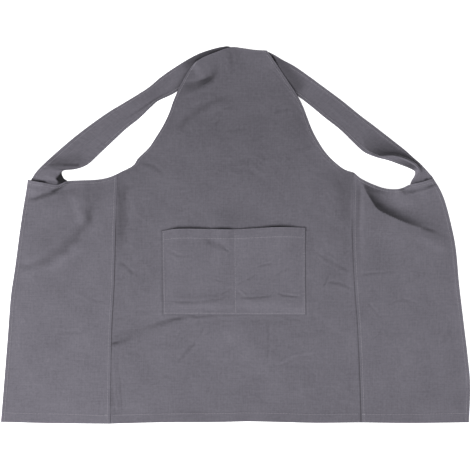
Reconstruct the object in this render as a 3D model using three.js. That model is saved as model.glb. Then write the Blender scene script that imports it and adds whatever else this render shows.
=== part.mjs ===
// Cross-back apron of grey cotton canvas, lying face up on a flat surface.
// A front panel with a bib, two back panels lapped onto its sides, two wide straps that cross
// behind the bib, and a patch pocket stitched down the middle.
// Millimetres: +X to the right, +Y towards the bib, +Z up. The origin is the middle of the
// outline, on the surface the apron lies on.

import * as THREE from "three";

// Cloth
const CLOTH = 1.2; // one layer of canvas
const GAP = 0.3; // clearance between two layers that touch
const LAYER = CLOTH + GAP; // rise of one layer lying on another
const FLOOR = CLOTH / 2; // height of a midsurface lying on the surface
const HEM_DEPTH = 20; // folded hem along the bottom
const HEM_EXTRA = 0.8; // added thickness of a folded hem
const HEM_FOLD = 1.1; // where the cloth is single again, as a multiple of a hem's depth
const SEAM_MARGIN = 8; // front panel's edge hidden under a back panel
const SEAM_STRIP = 1.25 * SEAM_MARGIN; // strip of the front panel without a hem fold
const LAP_FLAT = 13; // width of a back panel lying flat on the front panel
const LAP_RUN = 14; // width over which a lapped edge comes down again

// Bib over the crossed straps
const BIB_RISE_START = 268; // y where the bib begins to climb over the straps
const BIB_RISE_END = 316; // y from which it lies on both straps
const BIB_SEWN = 4; // width of a strap's end held against the back of the bib
const DRAWN_UP_SECTIONS = [0.17, 2]; // sections from a strap's end where it is and isn't drawn up
const LEFT_DRAWN_UP = 16; // distance from the bib's top edge over which the left strap comes up to it
const RIGHT_DRAWN_UP = 34; // and the right strap

// Pocket
const POCKET_MARGIN = 9; // sewn edge
const POCKET_HEM = 22; // folded hem at the mouth
const POCKET_PUFF = 8; // how far each half stands open at the mouth
const POCKET_FULLNESS = 0.8; // how evenly a half swells: 1 like a sine, less is flatter in the middle
const POCKET_CENTRE = -1; // x of the stitching down the middle
const POCKET_CLEAR = [6, 30]; // distances from the pocket over which the front panel's folds begin

// Outlines, x and y, from the hem upwards or from left to right
const LEFT_SEAM = [[-294, -444], [-290, -224], [-284, -107], [-281, 16], [-276, 144]];
const RIGHT_SEAM = [[296, -441], [293, -342], [288, -224], [280, -107], [275, 20], [278, 147]];
const LEFT_ARMHOLE = [
  [-276, 144], [-267, 149], [-252, 154], [-237, 163], [-230, 178], [-203, 205], [-185, 232],
  [-168, 260], [-155, 288], [-145, 316], [-134, 341], [-107, 389], [-93, 406],
];
const RIGHT_ARMHOLE = [
  [278, 147], [261, 152], [246, 161], [216, 189], [196, 218], [181, 246], [159, 302],
  [149, 322], [114, 375], [81, 424], [74, 433],
];
const BIB_TOP = [[-93, 406], [-74, 417], [-50, 427], [-8, 441], [16, 439], [44, 435], [74, 433]];
const FRONT_HEM = [[-294, -444], [-182, -441], [16, -439], [185, -442], [296, -441]];
const LEFT_OUTER = [
  [-551, -441], [-543, -342], [-534, -229], [-527, -140], [-517, -74], [-504, 25], [-487, 126],
];
const LEFT_HEM = [[-551, -441], [-436, -443], [-294, -444]];
const LEFT_TOP = [
  [-487, 126], [-452, 122], [-417, 118], [-396, 124], [-365, 126], [-323, 129], [-295, 136], [-276, 144],
];
const RIGHT_OUTER = [
  [549, -442], [552, -351], [546, -285], [536, -201], [526, -116], [518, -31], [507, 25],
  [492, 81], [482, 105], [465, 133],
];
const RIGHT_HEM = [[296, -441], [410, -443], [549, -442]];
const RIGHT_TOP = [
  [278, 147], [295, 133], [325, 118], [354, 109], [382, 108], [401, 114], [415, 121], [440, 127], [465, 133],
];
const LEFT_STRAP_SEAM = [[-487, 126], [-452, 122], [-417, 118], [-394, 124]];
const RIGHT_STRAP_SEAM = [[415, 121], [465, 133]];
const POCKET_LEFT = [[-169, -187], [-171, -90], [-172, 12]];
const POCKET_RIGHT = [[164, -189], [163, -90], [163, 17]];
const POCKET_BOTTOM = [[-169, -187], [0, -188], [164, -189]];
const POCKET_MOUTH = [[-172, 12], [-142, 16], [-1, 15], [100, 20], [163, 17]];

// Folds: each runs from start, bending towards bend, to end. It is crest high on that line and
// dies away over left and right, the widths on either side looking from start to end.
const FRONT_FOLDS = [
  { start: [-112, 386], bend: [-66, 424], end: [8, 446], crest: 7, left: 60, right: 30 },
  { start: [-98, 378], bend: [-72, 392], end: [-40, 376], crest: 8, left: 30, right: 15 },
  { start: [-128, 262], bend: [-96, 312], end: [-14, 322], crest: 3.5, left: 30, right: 16 },
  { start: [70, 440], bend: [84, 420], end: [104, 392], crest: 5, left: 20, right: 18 },
  { start: [-260, -236], bend: [-170, -216], end: [-90, -197], crest: 3, left: 26, right: 16 },
];
const LEFT_FOLDS = [
  { start: [-346, 160], bend: [-297, -5], end: [-545, -100], crest: 9, left: 18, right: 45 },
  { start: [-484, 92], bend: [-440, 96], end: [-400, 120], crest: 4, left: 16, right: 12 },
];
const RIGHT_FOLDS = [
  { start: [276, 160], bend: [300, 45], end: [500, -16], crest: 16, left: 17, right: 64 },
  { start: [295, 128], bend: [354, 91], end: [420, 119], crest: 7, left: 30, right: 30 },
  { start: [300, -60], bend: [360, -112], end: [420, -84], crest: 3, left: 16, right: 24 },
];

// Straps, a row for each section from the back panel to the bib: the outer and inner edge, how far
// across the crease lies, and the heights of the outer edge, crown, crease, ridge and inner edge.
const SECTION_COLUMNS = [
  "outerX", "outerY", "innerX", "innerY", "creaseAt", "outer", "crown", "crease", "ridge", "inner",
];
const STRAP_LEFT_SECTIONS = [
  [-479, 114, -419, 107, 0.80, 0.6, 0.6, 0.6, 0.6, 0.6],
  [-480, 128, -396, 121, 0.74, 0.6, 0.6, 0.6, 0.6, 0.6],
  [-475, 137, -400, 131, 0.69, 2.0, 9.0, 11.0, 1.5, 0.8],
  [-469, 146, -408, 145, 0.86, 4.0, 13.0, 13.0, 5.0, 2.0],
  [-462, 154, -404, 151, 0.86, 5.0, 14.0, 13.0, 9.0, 5.0],
  [-452, 164, -376, 154, 0.60, 2.0, 2.5, 3.0, 4.0, 4.0],
  [-432, 183, -350, 163, 0.55, 3.0, 5.0, 6.0, 6.0, 5.0],
  [-375, 232, -313, 196, 0.50, 2.0, 4.0, 5.0, 4.0, 2.0],
  [-300, 287, -255, 250, 0.60, 1.0, 2.5, 3.5, 4.0, 3.0],
  [-267, 307, -226, 273, 0.65, 1.0, 3.2, 2.5, 4.2, 2.8],
  [-229, 330, -197, 301, 0.70, 1.0, 4.0, 1.5, 4.5, 2.5],
  [-203, 347, -182, 314, 0.70, 0.8, 2.8, 1.2, 3.0, 2.0],
  [-176, 370, -150, 329, 0.70, 0.6, 1.5, 0.8, 1.5, 1.5],
  [-140, 395, -120, 346, 0.50, 0.6, 0.6, 0.6, 0.6, 0.6],
  [-90, 424, -64, 370, 0.50, 0.6, 0.6, 0.6, 0.6, 0.6],
  [-53, 437, -20, 390, 0.50, 0.6, 0.6, 0.6, 0.6, 0.6],
  [-31, 442, 18, 406, 0.50, 0.6, 0.6, 0.6, 0.6, 0.6],
  [-17, 443, 40, 418, 0.50, 0.6, 0.6, 0.6, 0.6, 0.6],
  [-7, 438, 60, 431, 0.50, 0.6, 0.6, 0.6, 0.6, 0.6],
];
const STRAP_RIGHT_SECTIONS = [
  [465, 121, 420, 111, 0.50, 0.6, 0.6, 0.6, 0.6, 0.6],
  [464, 135, 416, 123, 0.50, 0.6, 0.6, 0.6, 0.6, 0.6],
  [457, 143, 423, 138, 0.70, 1.5, 2.5, 5.0, 4.0, 3.0],
  [449, 152, 423, 148, 0.62, 1.5, 3.0, 9.0, 7.0, 3.0],
  [436, 166, 410, 156, 0.44, 1.5, 3.5, 12.0, 8.0, 3.0],
  [420, 180, 387, 165, 0.38, 1.5, 3.5, 12.5, 8.5, 3.0],
  [399, 199, 359, 175, 0.62, 1.5, 4.0, 12.0, 8.0, 3.0],
  [375, 218, 332, 182, 0.84, 1.5, 4.5, 8.0, 6.0, 4.0],
  [352, 236, 303, 194, 0.80, 1.5, 4.0, 5.0, 4.0, 3.0],
  [321, 260, 276, 218, 0.60, 1.5, 3.5, 4.0, 3.5, 2.0],
  [293, 281, 250, 245, 0.55, 1.3, 3.0, 3.5, 3.0, 1.8],
  [250, 316, 206, 280, 0.50, 1.0, 2.5, 3.0, 2.5, 1.5],
  [211, 345, 173, 306, 0.50, 0.8, 1.2, 1.2, 1.0, 0.8],
  [173, 373, 135, 333, 0.50, 1.0, 0.9, 0.8, 0.8, 0.8],
  [138, 397, 81, 354, 0.50, 2.1, 2.1, 2.1, 2.1, 2.1],
  [110, 412, 45, 368, 0.50, 2.1, 2.1, 2.1, 2.1, 2.1],
  [88, 425, 20, 380, 0.50, 2.1, 2.1, 2.1, 2.1, 2.1],
  [62, 415, -17, 388, 0.50, 2.1, 2.1, 2.1, 2.1, 2.1],
  [16, 411, -53, 396, 0.50, 2.1, 2.1, 2.1, 2.1, 2.1],
  [-31, 424, -84, 402, 0.50, 2.1, 2.1, 2.1, 2.1, 2.1],
];

// Mesh fineness
const FRONT_COLUMNS = 24;
const FRONT_ROWS = [18, 22];
const BACK_COLUMNS = 14;
const BACK_ROWS = [9, 16];
const STRAP_STATIONS = 42;
const POCKET_COLUMNS = 20;
const POCKET_ROWS = 9;
const FOLD_SAMPLES = 24;
const FRONT_SPLIT = 0.62; // share of the front panel's height below the armholes
const BACK_SPLIT = 0.6; // share of a back panel's height below its folds
const FOLD_TAPER = 0.25; // share of a fold's length over which it rises and dies away
const SECTION_SHARES = { shoulder: 0.35, crown: 0.7, ridge: 0.35 }; // places across a strap's section

const CANVAS = { color: 0x716e76, roughness: 0.95, metalness: 0 };

function smooth(from, to, value) {
  return THREE.MathUtils.smoothstep(value, from, to);
}

function spline(points) {
  const corners = points.map(([x, y]) => new THREE.Vector3(x, y, 0));
  return new THREE.CatmullRomCurve3(corners, false, "centripetal");
}

// One edge made of two splines that meet at a corner, split at the given share of its length
function joinedEdge(first, second, split) {
  return (v) => (v <= split ? first.getPointAt(v / split) : second.getPointAt((v - split) / (1 - split)));
}

function edge(points) {
  const curve = spline(points);
  return (v) => curve.getPointAt(THREE.MathUtils.clamp(v, 0, 1));
}

function evenSteps(from, to, count) {
  return Array.from({ length: count }, (_, step) => from + ((to - from) * (step + 1)) / count);
}

// A point of the patch spanned by four edges that meet at their ends
function patchPoint(sides, u, v) {
  const across = sides.left(v).multiplyScalar(1 - u).addScaledVector(sides.right(v), u);
  const along = sides.bottom(u).multiplyScalar(1 - v).addScaledVector(sides.top(u), v);
  const low = sides.left(0).multiplyScalar(1 - u).addScaledVector(sides.right(0), u);
  const high = sides.left(1).multiplyScalar(1 - u).addScaledVector(sides.right(1), u);
  return across.add(along).addScaledVector(low, v - 1).addScaledVector(high, -v);
}

function patchGrid(sides, columns, rows, heightAt) {
  return rows.map((v) =>
    columns.map((u) => {
      const point = patchPoint(sides, u, v);
      point.z = heightAt(point.x, point.y, u, v);
      return point;
    }),
  );
}

// Distance of a point from a line of samples, how far along it lies, and the side it is on
function nearestOnLine(samples, x, y) {
  let best = { distance: Infinity, along: 0, side: 1 };
  for (let step = 0; step < samples.length - 1; step += 1) {
    const start = samples[step];
    const run = samples[step + 1].clone().sub(start);
    const toPoint = new THREE.Vector2(x - start.x, y - start.y);
    const share = THREE.MathUtils.clamp(toPoint.dot(run) / run.lengthSq(), 0, 1);
    const distance = toPoint.clone().addScaledVector(run, -share).length();
    if (distance < best.distance) {
      best = { distance, along: (step + share) / (samples.length - 1), side: Math.sign(run.cross(toPoint)) };
    }
  }
  return best;
}

function lineSamples(points) {
  return spline(points).getPoints(FOLD_SAMPLES).map((point) => new THREE.Vector2(point.x, point.y));
}

function foldLine(fold) {
  const [start, bend, end] = [fold.start, fold.bend, fold.end].map(([x, y]) => new THREE.Vector2(x, y));
  return new THREE.QuadraticBezierCurve(start, bend, end).getPoints(FOLD_SAMPLES);
}

function foldedHeight(folds) {
  const lines = folds.map(foldLine);
  return (x, y) =>
    folds.reduce((height, fold, index) => {
      const near = nearestOnLine(lines[index], x, y);
      const width = near.side > 0 ? fold.left : fold.right;
      const taper = smooth(0, FOLD_TAPER, near.along) * smooth(0, FOLD_TAPER, 1 - near.along);
      return height + fold.crest * taper * Math.exp(-((near.distance / width) ** 2));
    }, 0);
}

// How far a point is from a sewn lap: 1 on its flat part, 0 where the cloth is down again
function lapShare(line) {
  const samples = lineSamples(line);
  return (x, y) => 1 - smooth(LAP_FLAT, LAP_FLAT + LAP_RUN, nearestOnLine(samples, x, y).distance);
}

// A closed cloth solid around a grid of midsurface points
function clothSolid(name, grid, extraAt = () => 0) {
  const rows = grid.length;
  const columns = grid[0].length;
  const positions = [];
  const normalAt = (row, column) => {
    const down = grid[Math.max(row - 1, 0)][column];
    const up = grid[Math.min(row + 1, rows - 1)][column];
    const left = grid[row][Math.max(column - 1, 0)];
    const right = grid[row][Math.min(column + 1, columns - 1)];
    return right.clone().sub(left).cross(up.clone().sub(down)).normalize();
  };
  for (const side of [1, -1]) {
    for (let row = 0; row < rows; row += 1) {
      for (let column = 0; column < columns; column += 1) {
        const extra = side > 0 ? extraAt(row, column) : 0;
        const shift = side * (CLOTH / 2 + extra);
        positions.push(...grid[row][column].clone().addScaledVector(normalAt(row, column), shift).toArray());
      }
    }
  }
  const layer = rows * columns;
  const faces = [];
  const addQuad = (a, b, c, d) => faces.push(a, b, c, a, c, d);
  for (let row = 0; row < rows - 1; row += 1) {
    for (let column = 0; column < columns - 1; column += 1) {
      const corner = row * columns + column;
      const quad = [corner, corner + 1, corner + columns + 1, corner + columns];
      addQuad(...quad);
      addQuad(...quad.map((vertex) => vertex + layer).reverse());
    }
  }
  const rim = [];
  for (let column = 0; column < columns - 1; column += 1) rim.push(column);
  for (let row = 0; row < rows - 1; row += 1) rim.push(row * columns + columns - 1);
  for (let column = columns - 1; column > 0; column -= 1) rim.push((rows - 1) * columns + column);
  for (let row = rows - 1; row > 0; row -= 1) rim.push(row * columns);
  rim.forEach((vertex, step) => {
    const next = rim[(step + 1) % rim.length];
    addQuad(vertex, vertex + layer, next + layer, next);
  });
  const geometry = new THREE.BufferGeometry();
  geometry.setAttribute("position", new THREE.Float32BufferAttribute(positions, 3));
  geometry.setIndex(faces);
  geometry.computeVertexNormals();
  const mesh = new THREE.Mesh(geometry, new THREE.MeshStandardMaterial(CANVAS));
  mesh.name = name;
  return mesh;
}

// Pocket outline and the flat ground it is sewn to
const pocketSides = {
  left: edge(POCKET_LEFT),
  right: edge(POCKET_RIGHT),
  bottom: edge(POCKET_BOTTOM),
  top: edge(POCKET_MOUTH),
};

function clearOfPocket(x, y) {
  const outsideX = Math.max(POCKET_LEFT[0][0] - x, x - POCKET_RIGHT[0][0], 0);
  const outsideY = Math.max(POCKET_BOTTOM[0][1] - y, y - POCKET_MOUTH[3][1], 0);
  return smooth(...POCKET_CLEAR, Math.hypot(outsideX, outsideY));
}

// Height of the front panel's midsurface
const frontFolds = foldedHeight(FRONT_FOLDS);
const frontLaps = [LEFT_SEAM, RIGHT_SEAM].map(lapShare);

function frontHeight(x, y) {
  const lapped = Math.max(...frontLaps.map((share) => share(x, y)));
  const overStraps = 2 * LAYER * smooth(BIB_RISE_START, BIB_RISE_END, y);
  return FLOOR + overStraps + frontFolds(x, y) * (1 - lapped) * clearOfPocket(x, y);
}

function frontPanel() {
  const shift = (points, offset) => points.map(([x, y]) => [x + offset, y]);
  const leftSeam = spline(shift(LEFT_SEAM.slice(0, -1), -SEAM_MARGIN).concat([LEFT_SEAM.at(-1)]));
  const rightSeam = spline(shift(RIGHT_SEAM.slice(0, -1), SEAM_MARGIN).concat([RIGHT_SEAM.at(-1)]));
  const hem = shift(FRONT_HEM, 0);
  hem[0][0] -= SEAM_MARGIN;
  hem.at(-1)[0] += SEAM_MARGIN;
  const sides = {
    left: joinedEdge(leftSeam, spline(LEFT_ARMHOLE), FRONT_SPLIT),
    right: joinedEdge(rightSeam, spline(RIGHT_ARMHOLE), FRONT_SPLIT),
    bottom: edge(hem),
    top: edge(BIB_TOP),
  };
  const hemShare = (HEM_DEPTH / leftSeam.getLength()) * FRONT_SPLIT;
  const rows = [0, hemShare, hemShare * HEM_FOLD]
    .concat(evenSteps(hemShare * HEM_FOLD, FRONT_SPLIT, FRONT_ROWS[0]))
    .concat(evenSteps(FRONT_SPLIT, 1, FRONT_ROWS[1]));
  const marginShare = SEAM_STRIP / (FRONT_HEM.at(-1)[0] - FRONT_HEM[0][0]);
  const columns = [0, marginShare].concat(evenSteps(marginShare, 1 - marginShare, FRONT_COLUMNS), [1]);
  const grid = patchGrid(sides, columns, rows, frontHeight);
  const inHem = (row, column) => row < 2 && column > 1 && column < columns.length - 2;
  return clothSolid("front_panel", grid, (row, column) => (inHem(row, column) ? HEM_EXTRA : 0));
}

function backPanel(name, sides, folds, laps) {
  const foldAt = foldedHeight(folds);
  const lapAt = laps.map(lapShare);
  const heightAt = (x, y) => {
    const lapped = Math.max(...lapAt.map((share) => share(x, y)));
    return FLOOR + LAYER * lapped + foldAt(x, y) * (1 - lapped);
  };
  const hemShare = HEM_DEPTH / (LEFT_SEAM.at(-1)[1] - LEFT_SEAM[0][1]);
  const rows = [0, hemShare, hemShare * HEM_FOLD]
    .concat(evenSteps(hemShare * HEM_FOLD, BACK_SPLIT, BACK_ROWS[0]))
    .concat(evenSteps(BACK_SPLIT, 1, BACK_ROWS[1]));
  const columns = [0].concat(evenSteps(0, 1, BACK_COLUMNS));
  return clothSolid(name, patchGrid(sides, columns, rows, heightAt), (row) => (row < 2 ? HEM_EXTRA : 0));
}

function backPanelLeft() {
  const sides = {
    left: edge(LEFT_OUTER),
    right: edge(LEFT_SEAM),
    bottom: edge(LEFT_HEM),
    top: edge(LEFT_TOP),
  };
  return backPanel("back_panel_left", sides, LEFT_FOLDS, [LEFT_SEAM, LEFT_STRAP_SEAM]);
}

function backPanelRight() {
  const sides = {
    left: edge(RIGHT_SEAM),
    right: edge(RIGHT_OUTER),
    bottom: edge(RIGHT_HEM),
    top: edge(RIGHT_TOP),
  };
  return backPanel("back_panel_right", sides, RIGHT_FOLDS, [RIGHT_SEAM, RIGHT_STRAP_SEAM]);
}

// A ribbon through the sections of a strap, drawn up to the back of the bib near the bib's top edge
function strap(name, table, outerIsLeft, drawnUpOver) {
  const named = (row) => Object.fromEntries(row.map((value, at) => [SECTION_COLUMNS[at], value]));
  const sections = table.map(named);
  const profile = (section) => {
    const { creaseAt } = section;
    const ridgeAt = creaseAt + (1 - creaseAt) * SECTION_SHARES.ridge;
    const knots = [
      [0, section.outer],
      [creaseAt * SECTION_SHARES.shoulder, (section.outer + section.crown) / 2],
      [creaseAt * SECTION_SHARES.crown, section.crown],
      [creaseAt, section.crease],
      [ridgeAt, section.ridge],
      [(ridgeAt + 1) / 2, (section.ridge + section.inner) / 2],
      [1, section.inner],
    ];
    return knots.map(([share, height]) => {
      const x = THREE.MathUtils.lerp(section.outerX, section.innerX, share);
      const y = THREE.MathUtils.lerp(section.outerY, section.innerY, share);
      return new THREE.Vector3(x, y, height);
    });
  };
  const profiles = sections.map(profile);
  const bibTop = lineSamples(BIB_TOP);
  const lanes = profiles[0].map((_, lane) => {
    const points = profiles.map((points) => points[lane]);
    return new THREE.CatmullRomCurve3(points, false, "centripetal");
  });
  const steps = [0].concat(evenSteps(0, 1, STRAP_STATIONS));
  const grid = steps.map((step) =>
    lanes.map((lane) => {
      const point = lane.getPoint(step);
      const fromBibTop = nearestOnLine(bibTop, point.x, point.y).distance;
      const sectionsLeft = (1 - step) * (sections.length - 1);
      const nearEnd = 1 - smooth(...DRAWN_UP_SECTIONS, sectionsLeft);
      const sewn = (1 - smooth(BIB_SEWN, drawnUpOver, fromBibTop)) * nearEnd;
      const underBib = frontHeight(point.x, point.y) - LAYER - GAP;
      point.z = THREE.MathUtils.lerp(Math.max(point.z, FLOOR), underBib, sewn);
      return point;
    }),
  );
  return clothSolid(name, outerIsLeft ? grid : grid.map((row) => row.reverse()));
}

function pocket() {
  const columns = [0].concat(evenSteps(0, 1, POCKET_COLUMNS));
  const height = POCKET_MOUTH[0][1] - POCKET_LEFT[0][1];
  const hemShare = POCKET_HEM / height;
  const rows = [0, POCKET_MARGIN / height]
    .concat(evenSteps(POCKET_MARGIN / height, 1 - hemShare * HEM_FOLD, POCKET_ROWS))
    .concat([1 - hemShare, 1]);
  const halfWidth = (x) => {
    const [from, to] =
      x < POCKET_CENTRE ? [POCKET_LEFT[2][0], POCKET_CENTRE] : [POCKET_CENTRE, POCKET_RIGHT[2][0]];
    return THREE.MathUtils.clamp((x - from - POCKET_MARGIN) / (to - from - 2 * POCKET_MARGIN), 0, 1);
  };
  const heightAt = (x, y, u, v) => {
    const bulge = Math.sin(Math.PI * halfWidth(x)) ** POCKET_FULLNESS;
    return FLOOR + LAYER + POCKET_PUFF * bulge * smooth(POCKET_MARGIN / height, 1, v);
  };
  const grid = patchGrid(pocketSides, columns, rows, heightAt);
  return clothSolid("pocket", grid, (row) => (row > rows.length - 3 ? HEM_EXTRA : 0));
}

const apron = new THREE.Group();
apron.name = "cross_back_apron";
apron.add(
  frontPanel(),
  backPanelLeft(),
  backPanelRight(),
  strap("strap_left", STRAP_LEFT_SECTIONS, true, LEFT_DRAWN_UP),
  strap("strap_right", STRAP_RIGHT_SECTIONS, false, RIGHT_DRAWN_UP),
  pocket(),
);

export default apron;
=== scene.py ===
"""Cross-back apron of grey cotton canvas, laid face up on a pale surface and seen from above.

Sizes in the tables are millimetres: x to the right, y towards the bib, z up from the surface.
"""

import math

import bpy
import numpy as np
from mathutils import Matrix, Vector


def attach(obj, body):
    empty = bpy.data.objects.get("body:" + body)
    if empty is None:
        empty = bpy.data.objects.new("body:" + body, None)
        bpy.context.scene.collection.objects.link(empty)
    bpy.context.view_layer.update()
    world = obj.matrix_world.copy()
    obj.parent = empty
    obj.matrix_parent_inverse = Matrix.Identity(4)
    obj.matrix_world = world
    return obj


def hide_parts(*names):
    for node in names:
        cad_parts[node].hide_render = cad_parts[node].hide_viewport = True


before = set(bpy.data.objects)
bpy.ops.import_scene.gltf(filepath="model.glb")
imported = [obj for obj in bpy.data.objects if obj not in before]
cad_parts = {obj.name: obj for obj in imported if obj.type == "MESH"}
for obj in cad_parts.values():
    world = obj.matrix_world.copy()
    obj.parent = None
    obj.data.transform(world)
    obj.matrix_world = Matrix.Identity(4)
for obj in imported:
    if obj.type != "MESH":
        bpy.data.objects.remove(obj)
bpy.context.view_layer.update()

# Cloth
MM = 0.001
CLOTH = 1
LAYER = 1.5
LAYER_GAP = 0.3
FLOOR = 0.6
SLACK = 3.4
SLACK_RUN = (4, 60)
SLACK_EVEN, SLACK_NOISE = 0.75, (120, 0.25)
EDGE_THIN, EDGE_GAIN, EDGE_ROUND = 0.45, 0.55, 1.4

# Hems and seams
HEM_STEP = 0.55
HEM_STEP_IN, HEM_STEP_OUT = 1, 1.2
HEM_DIP, HEM_DIP_IN = (0.25, 1.1), 2
HEM_WIDTH = 9.5
HEM_STITCH = 7.5
STITCH_IN = 1.5
BOTTOM_HEM = 21.5
BACK_HEM_GAIN = 2.3
BACK_HEM_RUN = (30, 110)
SEAM_MARGIN = 8
SEAM_SHOWN = (-1, 6)
LAP_FLAT = 13
LAP_RUN = 14
LAP_STEP = 0.15
SEAM_RUN = 110
SEAM_RIDGE = 1.1
RIDGE_START, RIDGE_EARLIER, RIDGE_FULL, RIDGE_RUN = 0.5, 4.5, 2.5, 12
HALF_TIGHT = 0.5
CHEST = (0, 70)
TOPSTITCH = 7
TACK = (1.4, 15)
PUCKER_NOISE, PUCKER_RUN = (9, 0.5), 11
HEM_PUCKER, OUTER_PUCKER, SEAM_PUCKER = 0.6, 0.7, 0.4

# Bib, straps and pocket
BIB_RISE = (268, 316)
BIB_SEWN = 4
BIB_TOP_STEP = 0.6
BIB_TOP_EDGE = (3, 7)
LEFT_DRAWN_UP = 16
RIGHT_DRAWN_UP = 34
STRAP_WIDTH = 64
STRAP_LIFT = 0.5
STRAP_CROWN, STRAP_RIDGE = 0.65, 0.3
STRAP_STRAIGHT, STRAP_EASED = 0.6, 0.4
STRAP_SHOWN, STRAP_HIDDEN, STRAP_SEWN = (0.08, 0.14), (0.58, 0.66), (0.88, 0.99)
POCKET_HEM = 23
POCKET_STITCH = 3.5
POCKET_BESIDE = (0, 10)
POCKET_CENTRE = -1
CENTRE_HELD, CENTRE_COLUMN, CENTRE_SUNK = 4, 0.508, 0.2
POCKET_PUFF, POCKET_SUNK = 1.1, 0.35
PUFF_RUN, RELIEF_RUN, GAPE_RUN = (3, 40), (3, 14), (0.35, 1)
TURNING = 0.35
TURNING_EDGE = (6, 8.5)

# Folds, creases and crumples, with the size and gain of their noise
FOLD_TAPER = 0.28
DRAPE_SLOPE = 62
DRAPE_ROUNDING = 1.5
NOISE_CELLS, NOISE_GAIN, NOISE_LANE = 61, 1.6, 0.4
WANDER_NOISE, PATCH_NOISE = (26, 2.5), (35, 0.4)
CREASE_EVEN, PATCH_WIDTH = 0.85, 5
SHOULDER, SHOULDER_AT = 0.3, 2
BEND_NOISE, SWELL_NOISE = (55, 14), (80, 0.8)
CRUMPLE_EVEN, CRUMPLE_NOISE = 0.9, (110, 0.6)
CRUMPLE_FROM = (0, 1.2)
FRONT_CRUMPLE, STRAP_CRUMPLE, POCKET_CRUMPLE = 1.6, 0.8, 0.65
# Small creases of the crumples, a row each: height, stretch, size
CRUMPLES = ((0.55, 1.5, 40), (0.28, 1.4, 17))
CRUMPLE_TOP = 0.3

# Painted shade on the cloth's colour, from 0 for plain cloth to 1 and painted light below 0, and widths of
# shaded lines
SHADE_RANGE = (-0.4, 1)
# Painted shade in hollows, for fine creases and deep folds, from the blurred height
FINE_BLUR, FINE_DEPTH, FINE_SHADE = 2, 1.5, 0.2
DEEP_BLUR, DEEP_FROM, DEEP_DEPTH, DEEP_SHADE = 5, 1.2, 3.5, 0.45
# Painted shade along creases, per millimetre of depth
CREASE_SHADE = 0.07
# Painted shadow behind the drape's crest: strength, near and far shares, far reach, and the heights it spans
DRAPE_SHADE, DRAPE_NEAR, DRAPE_FAR, DRAPE_REACH = 0.62, 0.7, 0.3, 3
DRAPE_SHADED = (2, 14)
# Lighter cloth along free edges
EDGE_LIGHTENING = (-0.3, 1.6)
# Painted shade over the whole front panel
FRONT_PAINTED_SHADE = 0.05
# Painted shade where the bib sinks between its straps: middle y, then darkness and spread
BIB_MIDDLE, BIB_PAINTED_SHADE = 245, (0.16, 125)
# The front panel darker towards its bottom hem
HEM_DARKENING = 0.05
HEM_DARKENING_RUN = (-340, -430)
# Painted shadow along the seams, on the front panel and on the back panels' laps, and its strength down the
# seams
SEAM_SHADE, LAP_SHADE = (0.45, 1.6), (0.55, 0.9)
SEAM_SHADE_LEAST, SEAM_SHADE_GAIN = 0.15, 0.85
SEAM_LOW = (-240, -310)
LEFT_SEAM_SHADE_FADE, RIGHT_SEAM_SHADE_BASE, RIGHT_SEAM_SHADE_RISE = 0.8, 0.55, 0.45
# Painted shadow above the pocket's mouth: strength, width, opening for full strength, lowest y
MOUTH_SHADE, MOUTH_WIDTH, MOUTH_WIDEST, MOUTH_FOOT = 0.9, 3.2, 2.8, 12
# Painted shade beside the pocket's left side, along its sewn edges, and on a strap beside the bib
POCKET_SIDE_SHADE, POCKET_EDGE_SHADE, BESIDE_BIB_SHADE = (0.2, 2.8), (0.3, 0.9), (0.16, 14)
POCKET_LIGHT = 0.09
POCKET_LIGHT_RUN = (10, 24)
# Painted shade on a strap's sections starts and ends this far from the crease, in shares of the crease
STRAP_DARK_START, STRAP_DARK_END = -0.4, 0.06

# Mesh fineness
EDGE_STEPS = (0, 0.5, 1.4, 3, 5.5, 7.5, 9, 10.2, 12, 15)
HEM_STEPS = (0, 0.5, 1.4, 3, 5.5, 7.5, 9, 12, 16, 19, 20, 21.2, 23, 27)
MOUTH_STEPS = (0, 0.5, 1.4, 3, 5.5, 9, 14, 19, 21, 22.5, 24, 27)
MOUTH_BAND = (8, 28)
MOUTH_ROWS = 15
FRONT_COLUMNS = 246
FRONT_ROW_STEP = 3.1
BACK_COLUMNS = 120
BACK_ROW_STEP = 2.4
POCKET_COLUMNS = 160
POCKET_ROW_STEP = 1.9
STRAP_LANES = 24
STRAP_STEP = 2
UNDER_STEP = 3
CURVE_SAMPLES, EDGE_SAMPLES, BEND_SAMPLES, LINE_SAMPLES = 32, 5, 25, 400
DRAPE_SAMPLES, STRAP_SAMPLES = 6, 40

# Stitching
STITCH_PITCH = 3.6
STITCH_LENGTH = 2.8
STITCH_RADIUS = 0.4
STITCH_SIDES = 6
# Rings of a stitch, a row each: shares of its length and radius
STITCH_RINGS = ((-0.5, 0.02), (-0.36, 0.85), (0, 1), (0.36, 0.85), (0.5, 0.02))
STITCH_RAISED, SUNK_NOISE = 0.05, (30, 0.3)
STITCH_UNEVEN, STITCH_SWAY = 0.1, 0.04
# Shares of an edge's length that are stitched, from and to
FULL_SPAN, SEAM_SPAN, FRONT_HEM_SPAN = (0.01, 0.99), (0, 0.99), (0.03, 0.97)
ARMHOLE_GAP, ARMHOLE_END = 0.01, 0.995
STRAP_SPAN = (0.04, 0.72)

# Seeds
SLACK_SEED = 3
FRONT_SEED = 11
PUCKER_SEED = 21
THREAD_SEED = 31
CREASE_SEED = 41
POCKET_SEED = 61

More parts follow.
